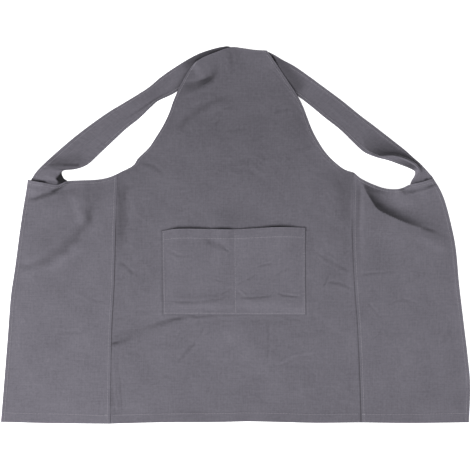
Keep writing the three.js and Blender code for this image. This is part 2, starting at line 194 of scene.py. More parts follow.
# Outlines: x, y
LEFT_SEAM = ((-294, -444), (-290, -224), (-284, -107), (-281, 16), (-276, 144))
RIGHT_SEAM = ((296, -441), (293, -342), (288, -224), (280, -107), (275, 20), (278, 147))
LEFT_ARMHOLE = (
    (-276, 144), (-267, 149), (-252, 156), (-238, 165), (-230, 178), (-203, 205), (-185, 232),
    (-168, 260), (-155, 288), (-145, 316), (-134, 341), (-107, 389), (-93, 406),
)
RIGHT_ARMHOLE = (
    (278, 147), (261, 152), (246, 161), (216, 189), (196, 218), (181, 246), (159, 302),
    (149, 322), (114, 375), (81, 424), (74, 433),
)
BIB_TOP = ((-93, 406), (-74, 417), (-50, 427), (-8, 441), (16, 439), (44, 435), (74, 433))
FRONT_HEM = (
    (-294, -444), (-182, -441), (-36, -440), (30, -438.6), (110, -440.2), (185, -442), (296, -441),
)
LEFT_OUTER = (
    (-551, -439.8), (-543, -342), (-534, -229), (-527, -140), (-517, -74), (-504, 25), (-487, 130),
)
LEFT_HEM = ((-551, -439.8), (-436, -442.6), (-294, -444))
LEFT_TOP = (
    (-487, 130), (-470, 126), (-452, 123), (-417, 118), (-396, 126), (-365, 128), (-323, 130),
    (-295, 136), (-276, 144),
)
RIGHT_OUTER = (
    (549, -440.8), (552, -351), (546, -285), (536, -201), (526, -116), (518, -31), (507, 25),
    (492, 81), (482, 105), (465, 133),
)
RIGHT_HEM = ((296, -441), (410, -442.4), (549, -440.8))
RIGHT_TOP = (
    (278, 147), (295, 133), (325, 118), (354, 109), (382, 108), (396, 112), (408, 118),
    (422, 121), (440, 125), (465, 133),
)
LEFT_STRAP_SEAM = ((-487, 130), (-452, 123), (-417, 118), (-394, 124))
RIGHT_STRAP_SEAM = RIGHT_TOP[6:]
POCKET_LEFT = ((-169, -187), (-171, -90), (-172, 9))
POCKET_RIGHT = ((166, -187.6), (165, -90), (165, 17))
POCKET_BOTTOM = ((-169, -187), (0, -187.6), (166, -187.6))
POCKET_MOUTH = ((-172, 9), (-142, 14), (-1, 13.5), (100, 18.5), (165, 17))
FREE_EDGES = (
    LEFT_OUTER, LEFT_HEM, FRONT_HEM, RIGHT_HEM, RIGHT_OUTER, RIGHT_TOP, RIGHT_ARMHOLE, BIB_TOP,
    LEFT_ARMHOLE, LEFT_TOP,
)

# Broad folds, a row each: start x and y, bend x and y, end x and y, height, and the widths over
# which it dies away on its left and right, looking from start to end.
FRONT_FOLDS = (
    (-112, 386, -66, 424, 8, 446, 7, 60, 30),
    (-98, 378, -72, 394, -40, 384, 1.2, 30, 18),
    (-122, 258, -92, 318, -8, 336, 1.4, 22, 12),
    (66, 446, 84, 420, 104, 392, 2, 20, 18),
)
LEFT_FOLDS = (
    (-346, 160, -297, -5, -545, -100, 10, 16, 45),
    (-510, 62, -445, 66, -370, 100, 3.5, 20, 30),
    (-500, 108, -440, 110, -385, 128, 3.5, 16, 9),
)
RIGHT_FOLDS = (
    (295, 128, 354, 91, 420, 119, 7, 30, 30),
)

# Sections of the drape on the right panel, a row each along its crest: x, y, height, and how far behind
# the crest it takes to fall away.
DRAPE_SECTIONS = (
    (278, 152, 0, 10),
    (299, 117, 6, 13),
    (313, 90, 12, 11.5),
    (332, 61.5, 16, 8.5),
    (360, 46, 15, 8.5),
    (395, 30.5, 11.5, 10),
    (435, 16, 7, 11),
    (452, 9, 4.5, 12),
    (490, -9, 2, 14),
    (518, -20, 0, 14),
)

# Lifted top edges, in rows like the folds
LEFT_EDGE_LIFTS = (
    (-496, 129, -464, 126, -440, 118, 4, 8, 8),
)
RIGHT_EDGE_LIFTS = (
    (410, 118, 440, 128, 468, 135, 2.2, 8, 8),
)

# Creases, a row each: start x and y, bend x and y, end x and y, depth and width. A ridge is negative.
FRONT_CREASES = (
    (-146, 348, -70, 336, -26, 412, 3.6, 8.5),
    (-126, 346, -78, 350, -36, 376, 2.6, 7.5),
    (-134, 240, -102, 307, 2, 328, 2.4, 9),
    (-50, 279, -27, 298, 1, 302, 0.8, 5),
    (91, 289, 114, 293, 135, 300, 0.8, 5),
    (-22, 245, 11, 248, 41, 248, 0.5, 4.5),
    (-10, 434, -8, 406, -3, 370, 1.2, 6),
    (37, 220, 55, 229, 72, 234, 0.6, 4.5),
    (138, 196, 164, 204, 189, 215, 0.8, 4.5),
    (-227, 175, -196, 168, -163, 140, 1.2, 5.5),
    (-50, 255, -39, 269, -22, 283, 0.6, 4.5),
    (27, 159, 32, 173, 41, 185, 0.7, 3),
    (-266, 135, -257, 48, -269, -41, 3.4, 13),
    (-278, -62, -255, -71, -234, -95, 1.1, 3.5),
    (-212, -78, -212, -97, -215, -116, 0.7, 3),
    (262, 170, 256, 95, 266, 15, 2.6, 20),
    (208, -118, 234, -100, 281, -133, 1.3, 3.2),
    (205, -122, 212, -112, 221, -94, 1, 3),
    (178, -34, 227, -62, 276, -90, 0.8, 4.5),
    (-318, -250, -205, -212, -80, -184, 1.4, 11),
    (-205, -218, -150, -196, -80, -186, 1.8, 4),
    (-300, -258, -269, -250, -230, -234, 1.4, 7),
    (-140, -190, -55, -189, 30, -190, 2.8, 2.4),
    (-67, -194, -78, -250, -156, -316, 1, 4),
    (79, -194, 79, -248, 77, -302, 0.7, 4),
    (91, -309, 138, -274, 201, -274, -1, 3.5),
    (107, -191, 131, -194, 159, -203, 1, 3.2),
    (-36, -290, -15, -271, 1, -257, 0.6, 4),
    (-288, -262, -283, -353, -276, -438, -0.6, 2.6),
    (-276, -266, -271, -353, -264, -438, 0.7, 2.6),
    (-306, -257, -290, -254, -268, -249, 1.8, 3),
)
LEFT_CREASES = (
    (-350, 150, -332, 70, -342, 10, 2, 10),
    (-332, 108, -342, -44, -515, -80, 2.1, 10.5),
    (-425, -50, -462, -76, -515, -74, 1.6, 9),
    (-345, 38, -382, -16, -456, -58, 1.9, 11.5),
    (-390, 112, -362, 66, -354, 18, -2, 10),
    (-350, -18, -392, -50, -450, -84, -2, 12),
    (-440, 97, -410, 109, -380, 131, 9.5, 3.5),
    (-426, 121, -408, 110, -402, 98, 3, 3),
    (-490, 84, -440, 94, -392, 118, 3.5, 5),
    (-422, -231, -389, -227, -351, -231, 0.6, 4),
    (-483, -342, -447, -323, -398, -318, 0.5, 6),
    (-365, -130, -337, -154, -295, -161, 0.35, 4),
)
RIGHT_CREASES = (
    (396, 99, 440, 106, 486, 125, 9.5, 2.8),
    (362, 92, 395, 76, 440, 74, -1.6, 16),
    (292, 122, 322, 104, 368, 100, 1.8, 4.5),
    (286, -102, 321, -83, 406, -89, 0.8, 3.2),
    (307, -156, 328, -172, 347, -203, 0.35, 3.2),
    (319, -243, 345, -238, 342, -215, 0.6, 3.2),
    (354, -168, 392, -135, 436, -168, 0.5, 3.5),
    (429, 16, 453, 20, 476, 6, 1.1, 3.5),
    (420, 4, 465, -22, 505, -32, -1.8, 14),
    (481, -259, 504, -236, 518, -205, 0.7, 5),
)
POCKET_CREASES = (
    (-78, -9, -46, -17, -8, -36, 1.4, 7.5),
    (-27, -33, -20, -34, -13, -39, 0.6, 2.6),
    (25, -107, 39, -100, 51, -88, 1, 2.6),
    (-1, -116, 11, -113, 27, -107, 0.9, 2.6),
    (51, -78, 67, -68, 95, -62, 1, 2.8),
    (-172, -140, 0, -137, 166, -133, 1, 11),
    (-172, -164, 0, -161, 166, -160, -1, 9),
    (-165, -154, -83, -161, -22, -147, 1.2, 3.6),
    (6, -142, 63, -152, 98, -132, 1, 3.2),
    (98, -137, 124, -141, 161, -144, 1.2, 2.8),
    (4, -128, 16, -135, 30, -144, -0.8, 2.6),
    (-31, -140, -20, -130, -3, -121, 0.9, 2.6),
    (-48, -102, -39, -107, -27, -109, 0.7, 2.6),
    (88, -94, 114, -83, 138, -73, 0.7, 2.8),
    (-163, -31, -137, -57, -100, -46, 0.6, 3.4),
)

# How far the pocket's mouth stands open, from left to right: x, lift
POCKET_LIFTS = (
    (-172, 0), (-152, 0.8), (-136, 2.8), (-112, 2.2), (-92, 2.6), (-68, 1.6), (-58, 0.7), (-46, 1.4),
    (-34, 2.8), (-16, 2.8), (-4, 0.8), (12, 0.6), (48, 0.8), (70, 1.6), (86, 2.8), (112, 2.8), (132, 1.4),
    (146, 0.6), (165, 0),
)

# Strap sections, a row each from the back panel to the bib: outer x and y, inner x and y, how far
# across the crease lies, the heights of the outer edge, crown, crease, ridge and inner edge, and how
# dark the painted shade is on the parts before and past the crease. The flat ones share all but their places.
LOW_FLAT = (0.5, *(0.6,) * 5, 0, 0)
HIGH_FLAT = (0.5, *(2.1,) * 5, 0, 0)
STRAP_LEFT_SECTIONS = (
    (-479, 114, -419, 107, 0.8, 0.6, 0.6, 0.6, 0.6, 0.6, 0, 0),
    (-480, 128, -391, 123, 0.68, 0.6, 0.6, 0.6, 0.6, 0.6, 0, 1),
    (-475, 137, -402, 132, 0.71, 1.5, 6.5, 8.5, 1.2, 0.6, 0, 1),
    (-469, 146, -408, 144, 0.9, 3, 8.5, 9, 4, 1, 0, 1),
    (-462, 154, -404, 151, 0.92, 4, 9.5, 9.5, 8, 5, 0, 0.3),
    (-452, 164, -376, 154, 0.6, 3.5, 7.5, 7.5, 6, 4, 0, 0),
    (-432, 183, -350, 163, 0.55, 2, 3.5, 4, 4, 3.5, 0, 0),
    (-375, 232, -313, 196, 0.5, 2, 4, 5, 4, 2, 0, 0),
    (-300, 287, -255, 250, 0.6, 1, 2.5, 3.5, 4, 3, 0, 0),
    (-267, 307, -226, 273, 0.65, 1, 3.2, 2.5, 4.2, 2.8, 0, 0),
    (-229, 330, -197, 301, 0.75, 1, 4, 1.5, 4.5, 2.5, 0.05, 0.15),
    (-203, 347, -182, 314, 0.8, 0.8, 2.8, 1.2, 3, 2, 0.1, 0.25),
    (-176, 370, -150, 329, 0.75, 0.6, 1.5, 0.8, 1.5, 1.5, 0, 0.1),
    (-140, 395, -120, 346, *LOW_FLAT),
    (-90, 424, -64, 370, *LOW_FLAT),
    (-53, 437, -20, 390, *LOW_FLAT),
    (-31, 442, 18, 406, *LOW_FLAT),
    (-17, 443, 40, 418, *LOW_FLAT),
    (-7, 438, 60, 431, *LOW_FLAT),
)
STRAP_RIGHT_SECTIONS = (
    (465, 121, 420, 111, *LOW_FLAT),
    (464, 135, 411, 121, 0.6, 0.6, 0.6, 0.6, 0.6, 0.6, 0, 0),
    (457, 143, 420, 138, 0.7, 1.5, 2.5, 4, 3.5, 3, -0.12, -0.4),
    (449, 152, 422, 148, 0.58, 1.5, 3, 7, 6, 3, -0.08, -0.45),
    (436, 166, 410, 156, 0.38, 1.5, 3.5, 11, 8, 3, 0.22, 0.55),
    (420, 180, 387, 165, 0.36, 1.5, 3.5, 12.5, 8.5, 3, 0.46, 0.42),
    (399, 199, 359, 175, 0.55, 1.5, 4, 12, 8, 3, 0.68, 0),
    (375, 218, 332, 182, 0.88, 1.5, 4.5, 8, 6, 4, 0.68, 0),
    (352, 236, 303, 194, 0.85, 1.5, 4, 5, 4, 3, 0.3, 0),
    (321, 260, 276, 218, 0.6, 1.5, 3.5, 4, 3.5, 2, 0, 0),
    (293, 281, 249, 244.5, 0.55, 1.3, 3, 3.5, 3, 1.8, 0, 0),
    (250, 316, 205.5, 279, 0.5, 1, 2.5, 3, 2.5, 1.5, 0, 0),
    (211, 345, 173, 306, 0.5, 0.8, 1.2, 1.2, 1, 0.8, 0, 0),
    (173, 373, 135, 333, 0.5, 1, 0.9, 0.8, 0.8, 0.8, 0, 0),
    (138, 397, 81, 354, *HIGH_FLAT),
    (110, 412, 45, 368, *HIGH_FLAT),
    (88, 425, 20, 380, *HIGH_FLAT),
    (70, 430, -12, 388, *HIGH_FLAT),
    (16, 411, -53, 396, *HIGH_FLAT),
    (-31, 424, -84, 402, *HIGH_FLAT),
)

# Painted shadows in gaps and soft painted shade on a strap, a row each: start x and y, end x and y, width,
# darkness
LEFT_STRAP_SHADOWS = (
    (-486, 128, -448, 124, 1.9, 0.95),
    (-402, 164, -370, 164, 5, 0.6),
    (-430, 165, -380, 166, 6.5, 0.4),
    (-426, 174, -370, 178, 15, 0.26),
    (-134, 341, -107, 389, 6, 0.3),
    (-110, 404, -58, 431, 15, 0.42),
    (-92, 408, -50, 429, 5.5, 0.75),
    (-50, 429, -8, 442, 4, 0.85),
)
RIGHT_STRAP_SHADOWS = (
    (424, 121, 463, 132.5, 1.5, 0.45),
    (446, 130, 450, 131.5, 1.8, 0.9),
    (87, 419, 93, 409, 3.2, 0.95),
    (108, 409, 148, 352, 16, 0.4),
    (190, 302, 290, 222, 30, 0.09),
)

# Painted light and shade, with some uneven wear, on the panels, a row each: middle x and y, spread in x and
# y, darkness
PAINTED_PATCHES = (
    (-15, 45, 75, 26, 0.13),
    (-180, 212, 60, 34, -0.12),
    (-40, 206, 90, 30, -0.05),
    (195, 205, 50, 55, -0.15),
    (322, 40, 42, 85, 0.12),
    (360, -65, 45, 30, 0.08),
    (430, 98, 75, 28, -0.19),
    (512, -150, 26, 120, -0.09),
    (548, -320, 18, 60, -0.09),
    (390, -402, 120, 46, 0.1),
    (-60, -405, 70, 35, 0.08),
    (140, -410, 90, 30, 0.05),
    (-140, -335, 75, 35, 0.05),
    (-30, -255, 55, 45, -0.07),
    (95, -202, 60, 14, 0.1),
    (-480, 100, 28, 28, -0.22),
    (-520, -10, 28, 40, -0.16),
    (262, -10, 25, 40, 0.07),
    (-505, -190, 50, 110, -0.06),
)

# Canvas and plain surfaces
WHITE = (1.0, 1.0, 1.0, 1.0)
CANVAS_DARK = (0.098, 0.092, 0.11, 1.0)
CANVAS_LIGHT = (0.152, 0.144, 0.169, 1.0)
CANVAS_SURFACE = {"Roughness": 0.92, "Specular IOR Level": 0.15, "Sheen Weight": 0.12, "Sheen Roughness": 0.5}
# Noise of the warp, weft, grain and wear, a row each: scale across, scale upward, detail
CANVAS_NOISE = ((420, 26, 2), (26, 420, 2), (170, 170, 5), (14, 14, 4))
YARN_MIX, GRAIN_MIX, WEAR_MIX, SHADE_MIX = 0.6, 0.9, 0.7, 0.9
WEAVE_PITCH, WEAVE_RELIEF = 0.0011, 0.35
BUMP = {"Strength": 0.55, "Distance": 0.0004}
THREAD_SURFACE = {"Base Color": (0.28, 0.27, 0.3, 1.0), "Roughness": 0.8, "Specular IOR Level": 0.1}
FLOOR_SURFACE = {
    "Base Color": (0.93, 0.93, 0.93, 1.0), "Roughness": 0.9, "Specular IOR Level": 0.1,
    "Emission Color": WHITE, "Emission Strength": 0.8,
}
FLOOR_HALF = 6000
FLOOR_DROP = 0.4

# Camera and light, with places in metres
VIEW_WIDTH = 1104.5
VIEW_CENTRE = (-0.7, -0.2)
CAMERA_HEIGHT = 5
SENSOR = 36
WORLD_STRENGTH = 0.55
KEY_ENERGY, KEY_SPREAD = 1.4, 32
KEY_PLACE = (-4, -1.6, 3.6)
FILL_ENERGY, FILL_SIZE = 54.5, 1.2
FILL_PLACE = (-0.9, -1.9, 1.7)


def smooth(low, high, value):
    share = np.clip((value - low) / (high - low), 0, 1)
    return share * share * (3.0 - 2.0 * share)


def near(distance, strength, width):
    """Strength that dies away with distance."""
    return strength * np.exp(-((distance / width) ** 2))


def spline(corners, samples=CURVE_SAMPLES):
    """Points along a centripetal Catmull-Rom curve through the corners."""
    corners = np.array(corners, float)
    padded = np.vstack([2 * corners[0] - corners[1], corners, 2 * corners[-1] - corners[-2]])
    share = np.linspace(0, 1, samples, endpoint=False)[:, None]
    square, cube = share**2, share**3
    runs = []
    for before, start, end, after in zip(padded[:-3], padded[1:-2], padded[2:-1], padded[3:]):
        gaps = [math.sqrt(np.linalg.norm(b - a)) for a, b in ((before, start), (start, end), (end, after))]
        leave = (start - before) / gaps[0] - (end - before) / (gaps[0] + gaps[1]) + (end - start) / gaps[1]
        arrive = (end - start) / gaps[1] - (after - start) / (gaps[1] + gaps[2]) + (after - end) / gaps[2]
        leave, arrive = leave * gaps[1], arrive * gaps[1]
        runs.append(
            start * (2 * cube - 3 * square + 1)
            + end * (3 * square - 2 * cube)
            + leave * (cube - 2 * square + share)
            + arrive * (cube - square)
        )
    return np.vstack(runs + [corners[-1:]])


def reach_along(points):
    """Length of a line up to each of its points."""
    return np.concatenate([[0.0], np.cumsum(np.linalg.norm(np.diff(points, axis=0), axis=1))])


def read_off(points, reach, places):
    return np.stack([np.interp(places, reach, column) for column in points.T], axis=-1)


def along(points, shares):
    """Points at the given shares of a line's length."""
    reach = reach_along(points)
    return read_off(points, reach, np.asarray(shares) * reach[-1])


def length_of(points):
    return float(np.linalg.norm(np.diff(points, axis=0), axis=1).sum())


def nearest(line, x, y):
    """Distance from a line, share of the way along it, and the side: 1 on its left, -1 on its right."""
    best = np.full(np.shape(x), np.inf)
    share_at, side = np.zeros_like(best), np.ones_like(best)
    count = len(line) - 1
    for step in range(count):
        start, run = line[step], line[step + 1] - line[step]
        share = np.clip(((x - start[0]) * run[0] + (y - start[1]) * run[1]) / (run @ run), 0, 1)
        away_x = x - start[0] - share * run[0]
        away_y = y - start[1] - share * run[1]
        distance = np.hypot(away_x, away_y)
        closer = distance < best
        best = np.where(closer, distance, best)
        share_at = np.where(closer, (step + share) / count, share_at)
        side = np.where(closer, np.sign(run[0] * away_y - run[1] * away_x), side)
    return best, share_at, side


def distance_to(x, y, *edges):
    return np.min([nearest(spline(edge, EDGE_SAMPLES), x, y)[0] for edge in edges], axis=0)


def bent_line(row):
    start, bend, end = (np.array(row[at : at + 2], float) for at in (0, 2, 4))
    share = np.linspace(0, 1, BEND_SAMPLES)[:, None]
    return start * (1 - share) ** 2 + 2 * bend * share * (1 - share) + end * share**2


def end_taper(share):
    return smooth(0.0, FOLD_TAPER, share) * smooth(0.0, FOLD_TAPER, 1 - share)


def folded(rows, x, y):
    height = 0.0
    for row in rows:
        distance, share, side = nearest(bent_line(row), x, y)
        crest, left, right = row[6:9]
        height = height + near(distance, crest * end_taper(share), np.where(side > 0, left, right))
    return height


def drape_form(rows, x, y):
    """Height of a drape that rises slowly and falls away sharply behind its crest, and the painted shadow
    behind it.
    """
    track = spline(rows, DRAPE_SAMPLES)
    distance, share, side = nearest(track[:, :2], x, y)
    shares = np.linspace(0, 1, len(track))
    height, fall = (np.interp(share, shares, track[:, column]) for column in (2, 3))
    rounded = np.hypot(distance, DRAPE_ROUNDING) - DRAPE_ROUNDING
    behind, before = np.exp(-rounded / fall), near(distance, 1.0, DRAPE_SLOPE)
    shadow = DRAPE_NEAR * behind + DRAPE_FAR * np.exp(-distance / (DRAPE_REACH * fall))
    shade = DRAPE_SHADE * np.where(side > 0, shadow, 0.0) * smooth(*DRAPE_SHADED, height)
    return height * np.where(side > 0, behind, before), shade


def noise(x, y, seed, size, gain=1.0):
    """Smooth random relief, mostly within the gain, with features about size across."""
    angle = np.random.default_rng(seed).uniform(0.0, 2 * math.pi, (NOISE_CELLS, NOISE_CELLS))
    cell_x, cell_y = np.floor(x / size), np.floor(y / size)
    in_x, in_y = x / size - cell_x, y / size - cell_y

    def corner(step_x, step_y):
        column, row = (cell_x + step_x).astype(int), (cell_y + step_y).astype(int)
        turn = angle[column % NOISE_CELLS, row % NOISE_CELLS]
        return np.cos(turn) * (in_x - step_x) + np.sin(turn) * (in_y - step_y)

    share_x, share_y = smooth(0, 1, in_x), smooth(0, 1, in_y)
    low = corner(0, 0) * (1 - share_x) + corner(1, 0) * share_x
    high = corner(0, 1) * (1 - share_x) + corner(1, 1) * share_x
    return gain * (NOISE_GAIN * (low * (1 - share_y) + high * share_y))


def noise_along(run, seed, size, gain):
    """Smooth random relief along a line."""
    return noise(run, np.full_like(run, NOISE_LANE), seed, size, gain)


def creased(rows, x, y, seed):
    """Relief of creases with a wandering line and low shoulders, and painted shade along them."""
    bent_x, bent_y = x + noise(x, y, seed, *WANDER_NOISE), y + noise(x, y, seed + 1, *WANDER_NOISE)
    patchy = noise(x, y, seed + 2, *PATCH_NOISE)
    relief, shade = np.zeros_like(x), np.zeros_like(x)
    for row in rows:
        distance, share, _ = nearest(bent_line(row), bent_x, bent_y)
        depth, width = row[6:8]
        strength = depth * end_taper(share) * (CREASE_EVEN + patchy * min(1.0, PATCH_WIDTH / width))
        valley = near(distance, 1.0, width)
        relief -= strength * (valley - near(distance / width - SHOULDER_AT, SHOULDER, 1.0))
        shade += CREASE_SHADE * strength * valley
    return relief, shade


def painted_patch_shade(x, y):
    """Soft patches of painted shade, and of painted light where negative."""
    shade = np.zeros_like(x)
    for middle_x, middle_y, across, upward, darkness in PAINTED_PATCHES:
        shade += darkness * np.exp(-(((x - middle_x) / across) ** 2) - ((y - middle_y) / upward) ** 2)
    return shade


def crumple(x, y, seed):
    """Soft swells and sharp small creases of washed canvas."""
    bent_x, bent_y = x + noise(x, y, seed + 1, *BEND_NOISE), y + noise(x, y, seed + 2, *BEND_NOISE)
    swell = noise(bent_x, bent_y, seed + 3, *SWELL_NOISE)
    small = sum(
        height * (CRUMPLE_TOP - np.abs(noise(bent_x, stretch * bent_y, seed + step, size)))
        for step, (height, stretch, size) in enumerate(CRUMPLES, 4)
    )
    return swell + small * (CRUMPLE_EVEN + noise(x, y, seed + 6, *CRUMPLE_NOISE))


def slack(x, y):
    """How far the cloth stands off the surface away from its free edges."""
    inside = distance_to(x, y, *FREE_EDGES)
    return SLACK * smooth(*SLACK_RUN, inside) * (SLACK_EVEN + noise(x, y, SLACK_SEED, *SLACK_NOISE))


def lap_share(corners, x, y, run=LAP_RUN):
    return 1 - smooth(LAP_FLAT, LAP_FLAT + run, distance_to(x, y, corners))


def from_pocket(x, y):
    away_x = np.maximum(np.maximum(POCKET_LEFT[0][0] - x, x - POCKET_RIGHT[0][0]), 0.0)
    away_y = np.maximum(np.maximum(POCKET_BOTTOM[0][1] - y, y - POCKET_MOUTH[3][1]), 0.0)
    return np.hypot(away_x, away_y)


def from_seam(x, y):
    """Distance of the front panel from its seams, negative where it lies under a back panel."""
    shown = []
    for corners, hidden_side in ((LEFT_SEAM, 1), (RIGHT_SEAM, -1)):
        distance, _, side = nearest(spline(corners, EDGE_SAMPLES), x, y)
        shown.append(-distance * side * hidden_side)
    return np.min(shown, axis=0)


def drawn_up(distance, tight):
    """Cloth drawn up beside a piece stitched over it, tightly or with a gap."""
    rising = smooth(RIDGE_START - RIDGE_EARLIER * tight, RIDGE_FULL - tight, distance)
    return near(distance, SEAM_RIDGE * rising, RIDGE_RUN)


def mouth_opening(x):
    return np.interp(x, *zip(*POCKET_LIFTS))


def front_height(x, y):
    lift = slack(x, y)
    seam, away = from_seam(x, y), from_pocket(x, y)
    shown = smooth(*SEAM_SHOWN, seam) * smooth(*POCKET_BESIDE, away)
    relief = folded(FRONT_FOLDS, x, y) + creased(FRONT_CREASES, x, y, CREASE_SEED)[0]
    relief = relief + FRONT_CRUMPLE * crumple(x, y, FRONT_SEED) * smooth(*CRUMPLE_FROM, lift)
    tight = HALF_TIGHT + HALF_TIGHT * smooth(*CHEST, y)
    beside = drawn_up(seam, tight) + drawn_up(away, HALF_TIGHT) * (y < POCKET_MOUTH[0][1])
    return FLOOR + 2 * LAYER * smooth(*BIB_RISE, y) + np.maximum(lift + relief * shown, 0.0) + beside


def edge_shares(width, count, steps=EDGE_STEPS):
    """Shares across a width, fine at both edges and even between."""
    fine = np.array(steps) / width
    middle = np.linspace(fine[-1], 1 - fine[-1], count)
    return np.concatenate([fine[:-1], middle, 1 - fine[-2::-1]])


def patch(left, right, bottom, top, rows, count):
    """A grid between four edges, with its x and y: rows upwards, columns finer at both sides."""
    left_at, right_at = along(left, rows)[:, None, :], along(right, rows)[:, None, :]
    widths = np.linalg.norm(left_at - right_at, axis=2).ravel()
    u = np.stack([edge_shares(width, count) for width in widths])[..., None]
    v = rows[:, None, None] * np.ones_like(u)
    bottom_at, top_at = along(bottom, u[..., 0]), along(top, u[..., 0])
    corners = (
        (1 - u) * (1 - v) * left[0] + u * (1 - v) * right[0] + (1 - u) * v * left[-1] + u * v * right[-1]
    )
    flat = (1 - u) * left_at + u * right_at + (1 - v) * bottom_at + v * top_at - corners
    return flat, flat[..., 0], flat[..., 1]


def blurred(values, reach):
    for axis in (0, 1):
        padded = np.pad(values, [(reach, reach) if axis == at else (0, 0) for at in (0, 1)], mode="edge")
        count = values.shape[axis]
        shifted = [np.take(padded, range(step, step + count), axis=axis) for step in range(2 * reach + 1)]
        values = sum(shifted) / len(shifted)
    return values


def edge_profile(distance):
    """Share of the cloth's thickness that is left near an edge."""
    inward = 1 - np.clip(distance / EDGE_ROUND, 0, 1)
    return EDGE_THIN + EDGE_GAIN * np.sqrt(np.clip(1 - inward**2, 0, 1))


def hollow_shade(height):
    """Painted shade in creases and deep folds."""
    fine, deep = (blurred(blurred(height, reach), reach) - height for reach in (FINE_BLUR, DEEP_BLUR))
    crease = np.clip(fine / FINE_DEPTH, 0, 1)
    return FINE_SHADE * crease + DEEP_SHADE * np.clip((deep - DEEP_FROM) / DEEP_DEPTH, 0, 1)


def rim_of(index):
    return np.concatenate([index[0, :-1], index[:-1, -1], index[-1, :0:-1], index[:0:-1, 0]])


def quads_of(index):
    corners = (index[:-1, :-1], index[:-1, 1:], index[1:, 1:], index[1:, :-1])
    return np.stack(corners, axis=-1).reshape(-1, 4)


def strided(count):
    return np.unique(np.append(np.arange(0, count, UNDER_STEP), count - 1))


def lowest_nearby(height):
    padded = np.pad(height, UNDER_STEP, mode="edge")
    rows, columns = height.shape
    steps = range(2 * UNDER_STEP + 1)
    return np.min([padded[up : up + rows, over : over + columns] for up in steps for over in steps], axis=0)


def add_object(name, data):
    item = bpy.data.objects.new(name, data)
    bpy.context.scene.collection.objects.link(item)
    return item


def add_mesh(name, points, faces):
    """Adds a smooth mesh to the scene from points in millimetres."""
    mesh = bpy.data.meshes.new(name)
    mesh.from_pydata((points * MM).tolist(), [], faces)
    mesh.shade_smooth()
    return add_object(name, mesh)


def cloth_piece(name, grid, from_edge, hem, weave, dark):
    """A closed cloth mesh: a fine upper face and a coarser underside. Returns it and its upper face."""
    normal = np.cross(np.gradient(grid, axis=1), np.gradient(grid, axis=0))
    normal /= np.linalg.norm(normal, axis=2, keepdims=True)
    half = (CLOTH / 2) * edge_profile(from_edge)
    upper = grid + normal * (half + hem)[..., None]
    under = grid - normal * half[..., None]
    rows, columns = grid.shape[:2]
    at_rim = np.ones((rows, columns), bool)
    at_rim[1:-1, 1:-1] = False
    under[..., 2] = np.where(at_rim, under[..., 2], lowest_nearby(under[..., 2]))
    index = np.arange(rows * columns).reshape(rows, columns)
    picked = np.ix_(strided(rows), strided(columns))
    kept = index[picked]
    under_index = index.size + np.arange(kept.size).reshape(kept.shape)
    faces = quads_of(index).tolist() + quads_of(under_index)[:, ::-1].tolist()
    faces += rim_walls(rim_of(index), rim_of(kept), rim_of(under_index))
    piece = add_mesh(name, np.vstack([upper.reshape(-1, 3), under[picked].reshape(-1, 3)]), faces)
    # Painted shade of hollows and the piece's own painted shade and light, kept in the shade attribute
    shade = np.clip(hollow_shade(grid[..., 2]) + dark, *SHADE_RANGE)
    laid = np.dstack([weave, np.zeros((rows, columns))]) * MM
    both = [np.concatenate([part.reshape(-1), part[picked].reshape(-1)]) for part in (laid, shade)]
    attributes = piece.data.attributes
    attributes.new("weave_at", "FLOAT_VECTOR", "POINT").data.foreach_set("vector", both[0])
    attributes.new("shade", "FLOAT", "POINT").data.foreach_set("value", both[1])
    return piece, upper


def rim_walls(upper_rim, kept_rim, under_rim):
    """Faces between the upper rim and the coarser rim below it."""
    places = {vertex: at for at, vertex in enumerate(upper_rim)}
    starts = [places[vertex] for vertex in kept_rim]
    ring = upper_rim.tolist()
    walls = []
    for step, start in enumerate(starts):
        after = (step + 1) % len(starts)
        end = starts[after] if after else len(ring)
        run = [ring[at % len(ring)] for at in range(end, start - 1, -1)]
        walls.append(run[-1:] + [int(under_rim[step]), int(under_rim[after])] + run[:-1])
    return walls


def grid_line(upper, rows, columns):
    """Points of a grid's upper face at fractional rows and columns."""
    row = np.clip(np.floor(rows).astype(int), 0, upper.shape[0] - 2)
    column = np.clip(np.floor(columns).astype(int), 0, upper.shape[1] - 2)
    up, over = (rows - row)[:, None], (columns - column)[:, None]
    below = upper[row, column] * (1 - over) + upper[row, column + 1] * over
    above = upper[row + 1, column] * (1 - over) + upper[row + 1, column + 1] * over
    return below * (1 - up) + above * up


def up_line(upper, column, first=0.0, last=1.0):
    rows = np.linspace(first, last, LINE_SAMPLES) * (upper.shape[0] - 1)
    return grid_line(upper, rows, np.full(LINE_SAMPLES, float(column)))


def across_line(upper, row, first, last):
    """A line along one row, or along a row for each column."""
    columns = np.linspace(first, last, LINE_SAMPLES) * (upper.shape[1] - 1)
    rows = np.broadcast_to(row, upper.shape[1])
    return grid_line(upper, np.interp(columns, range(upper.shape[1]), rows), columns)


def step_at(distance, steps=EDGE_STEPS):
    """Fractional column or row that lies a given distance in from an edge."""
    return np.interp(distance, steps, range(len(steps)))


